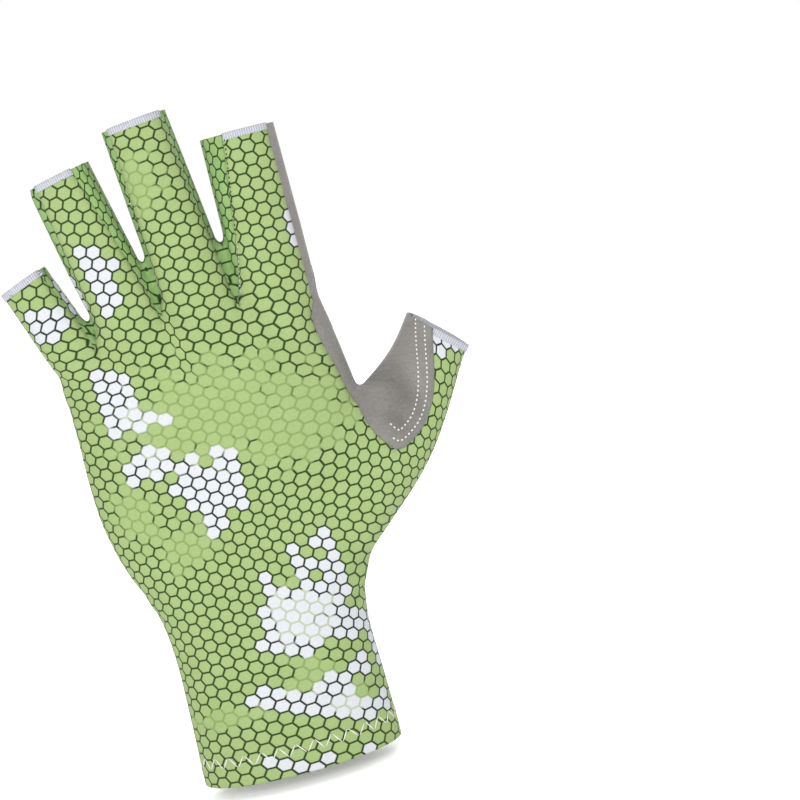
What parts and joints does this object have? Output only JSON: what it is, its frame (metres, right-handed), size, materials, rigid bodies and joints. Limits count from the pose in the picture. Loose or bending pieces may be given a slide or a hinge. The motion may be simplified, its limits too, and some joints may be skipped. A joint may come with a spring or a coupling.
{
  "type": "fishing glove",
  "caption": "Fingerless glove of thin stretch cloth with a honeycomb print, open finger mouths, a long cuff, suede grip panels on the palm and a pull tab.",
  "frame": {"origin": "middle of the wrist opening, in the plane of the cuff's hem", "axes": "+Z from the cuff to the fingers, -Y out of the back of the hand, +Y out of the palm, +X to the thumb"},
  "size_m": [0.1404, 0.0445, 0.2181],
  "materials": {
    "printed_cloth": "matt warp-knitted polyester with a printed honeycomb, light green cells with dark green lines and patches of white cells",
    "plain_suede": "short-napped grey microfibre suede",
    "embossed_suede": "grey microfibre suede embossed with a honeycomb",
    "pale_edging": "off-white ribbed edging and polyester thread"
  },
  "bodies": {
    "root": {"back_panel": "printed_cloth", "palm_panel": "printed_cloth", "fourchette_little_ring": "printed_cloth", "fourchette_ring_middle": "printed_cloth", "fourchette_middle_index": "printed_cloth", "web_panel": "plain_suede", "grip_panel": "embossed_suede", "thumb_pad": "embossed_suede", "pull_tab": "embossed_suede", "hem_strip_thumb": "pale_edging", "hem_strip_little_back": "pale_edging", "hem_strip_ring_back": "pale_edging", "hem_strip_middle_back": "pale_edging", "hem_strip_index_back": "pale_edging", "hem_strip_little_palm": "pale_edging", "hem_strip_ring_palm": "pale_edging"}
  },
  "joints": []
}
